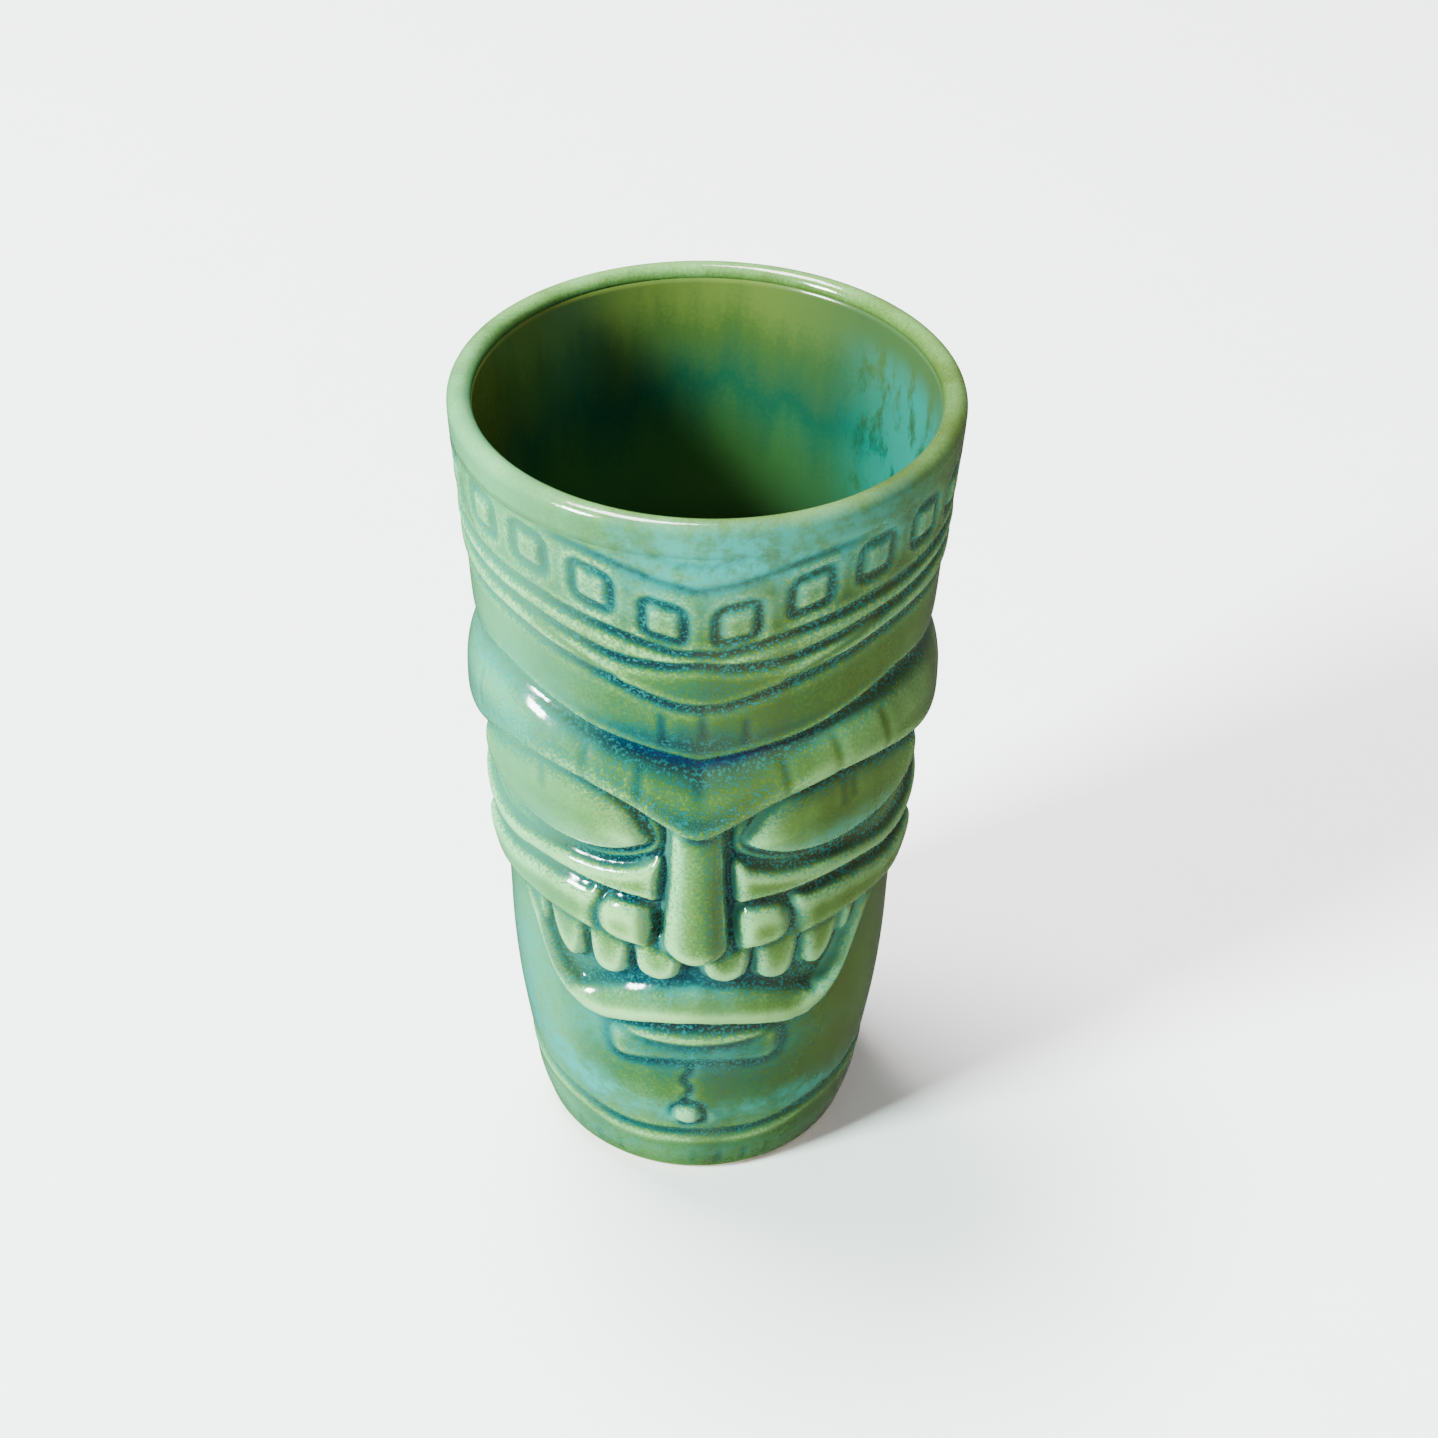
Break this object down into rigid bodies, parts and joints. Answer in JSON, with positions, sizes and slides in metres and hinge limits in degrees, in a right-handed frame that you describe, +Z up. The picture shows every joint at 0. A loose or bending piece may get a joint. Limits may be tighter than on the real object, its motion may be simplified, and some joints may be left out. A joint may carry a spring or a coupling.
{
  "type": "tiki mug",
  "caption": "Tall glazed ceramic tumbler with a carved mask face, a tiled headband and a rolled lip, standing on a foot ring.",
  "frame": {"origin": "centre of the foot ring's standing face", "axes": "+Z up along the cup's axis, the face looks towards -Y, +X to the viewer's right"},
  "size_m": [0.087, 0.0861, 0.16],
  "materials": {
    "body_glaze": "glossy celadon glaze that pools teal in the grooves",
    "rim_glaze": "glossy celadon glaze, thinner and paler on the lip",
    "tile_glaze": "glossy celadon glaze",
    "tooth_glaze": "glossy pale mint glaze",
    "lining_glaze": "glossy, deeper green and teal",
    "bare_foot": "matt unglazed stoneware"
  },
  "bodies": {
    "root": {"body_wall": "body_glaze", "base_slab": "body_glaze", "foot_ring": "bare_foot", "rim_lip": "rim_glaze", "glaze_lining": "lining_glaze", "base_band": "body_glaze", "headband": "body_glaze", "headband_tiles": "tile_glaze", "upper_cord": "body_glaze", "lower_cord": "body_glaze", "forehead_crescent": "body_glaze", "brow_ridge": "body_glaze", "nose": "body_glaze", "left_eye": "body_glaze", "right_eye": "body_glaze", "left_cheek": "body_glaze", "right_cheek": "body_glaze", "left_upper_lip": "body_glaze", "right_upper_lip": "body_glaze", "left_nostril": "body_glaze", "right_nostril": "body_glaze", "left_tooth_1": "tooth_glaze", "right_tooth_1": "tooth_glaze", "left_tooth_2": "tooth_glaze", "right_tooth_2": "tooth_glaze", "left_tooth_3": "tooth_glaze", "right_tooth_3": "tooth_glaze", "left_tooth_4": "tooth_glaze", "right_tooth_4": "tooth_glaze", "left_chin_wedge": "body_glaze", "right_chin_wedge": "body_glaze", "mouth_rim": "body_glaze", "chin_plaque": "body_glaze", "chin_lens": "body_glaze", "chin_bead": "body_glaze"}
  },
  "joints": []
}
